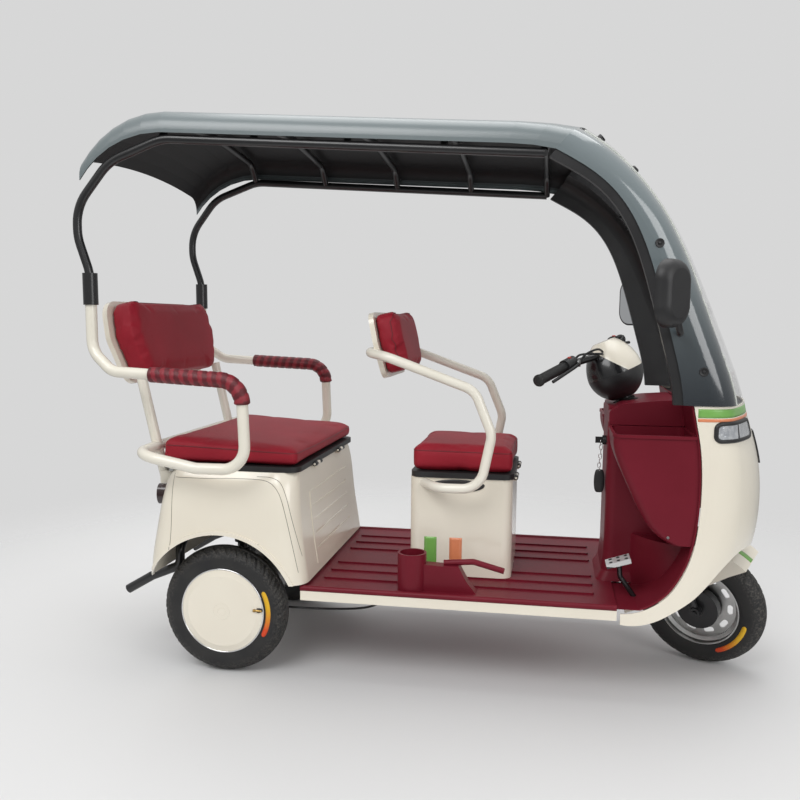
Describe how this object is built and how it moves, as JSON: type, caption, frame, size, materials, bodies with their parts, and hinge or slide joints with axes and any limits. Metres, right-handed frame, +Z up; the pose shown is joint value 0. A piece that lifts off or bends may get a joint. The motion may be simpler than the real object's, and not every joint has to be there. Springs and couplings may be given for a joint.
{
  "type": "electric mobility tricycle",
  "caption": "Roofed three-wheeled mobility vehicle with a driver's seat, a rear bench with armrests, raked steering and a curved windscreen.",
  "frame": {"origin": "on the ground under the middle of the whole machine", "axes": "+X forward, +Y to the rider's left, +Z up"},
  "size_m": [2.1221, 1.1536, 1.7508],
  "materials": {
    "cream_plastic": "gloss",
    "cream_tube": "gloss",
    "red_plastic": "satin",
    "red_leather": "satin",
    "black_tube": "satin",
    "black_plastic": "matte",
    "roof_dark": "gloss",
    "clear_screen": "clear",
    "mirror_glass": "polished",
    "tyre_rubber": "matte",
    "grip_rubber": "matte",
    "wheel_steel": "satin",
    "lamp_clear": "clear",
    "lamp_red": "gloss",
    "battery_case": "matte"
  },
  "bodies": {
    "chassis": {"chassis_frame": "black_tube", "rear_axle": "black_tube", "rear_springs": "black_tube", "battery_pack": "battery_case", "floor_board": "red_plastic", "floor_skirt": "cream_plastic", "front_cowl": "cream_plastic", "inner_shield": "red_plastic", "scuttle": "black_plastic", "headlamps": "lamp_clear", "nose_grille": "black_plastic", "rear_body": "cream_plastic", "access_panel": "cream_plastic", "tail_lamps": "lamp_red", "driver_box": "cream_plastic", "driver_back_shell": "cream_plastic", "driver_back_pad": "red_leather", "bench_back_shell": "cream_plastic", "bench_back_pad": "red_leather", "driver_seat_frame": "cream_tube", "bench_frame": "cream_tube", "armrest_wraps": "red_leather", "roof_shell": "roof_dark", "pillar_panels": "roof_dark", "windscreen": "clear_screen", "pillar_liners": "black_plastic", "canopy_frame": "black_tube", "mirror_housings": "black_plastic", "mirror_glasses": "mirror_glass", "wiper": "black_plastic", "parking_brake": "red_plastic", "parking_brake_lever": "red_plastic", "brake_pedal": "wheel_steel", "ignition_lock": "black_plastic", "brake_cable": "black_plastic"},
    "steering": {"fork": "black_tube", "front_fender": "cream_plastic", "handlebar": "black_tube", "grips": "grip_rubber", "bar_bowl": "black_plastic", "bar_cover": "cream_plastic", "steering_boot": "grip_rubber", "hand_controls": "black_plastic"},
    "front_wheel": {"front_tyre": "tyre_rubber", "front_rim": "wheel_steel"},
    "right_wheel": {"right_tyre": "tyre_rubber", "right_rim": "wheel_steel", "right_hub_cover": "cream_plastic"},
    "left_wheel": {"left_tyre": "tyre_rubber", "left_rim": "wheel_steel", "left_hub_cover": "cream_plastic"},
    "driver_seat": {"driver_seat_pan": "black_plastic", "driver_cushion": "red_leather"},
    "bench_seat": {"bench_pan": "black_plastic", "bench_cushion": "red_leather"}
  },
  "joints": [
    {"name": "steering_turn", "type": "hinge", "parent": "chassis", "child": "steering", "pos_m": [0.87393, 0, 0.19967], "axis": [-0.3746, 0, 0.9272], "range_deg": [-13, 67]},
    {"name": "front_wheel_spin", "type": "hinge", "parent": "steering", "child": "front_wheel", "pos_m": [0.87393, 0, 0.19967], "axis": [0.4209, 0.891, 0.1701], "continuous": true},
    {"name": "right_wheel_spin", "type": "hinge", "parent": "chassis", "child": "right_wheel", "pos_m": [-0.62607, -0.335, 0.202], "axis": [0, 1, 0], "continuous": true},
    {"name": "left_wheel_spin", "type": "hinge", "parent": "chassis", "child": "left_wheel", "pos_m": [-0.62607, 0.335, 0.202], "axis": [0, 1, 0], "continuous": true},
    {"name": "driver_seat_tip", "type": "hinge", "parent": "chassis", "child": "driver_seat", "pos_m": [0.26793, 0, 0.618], "axis": [0, 1, 0], "range_deg": [0, 55]},
    {"name": "bench_tip", "type": "hinge", "parent": "chassis", "child": "bench_seat", "pos_m": [-0.37907, 0, 0.645], "axis": [0, 1, 0], "range_deg": [0, 70]}
  ]
}
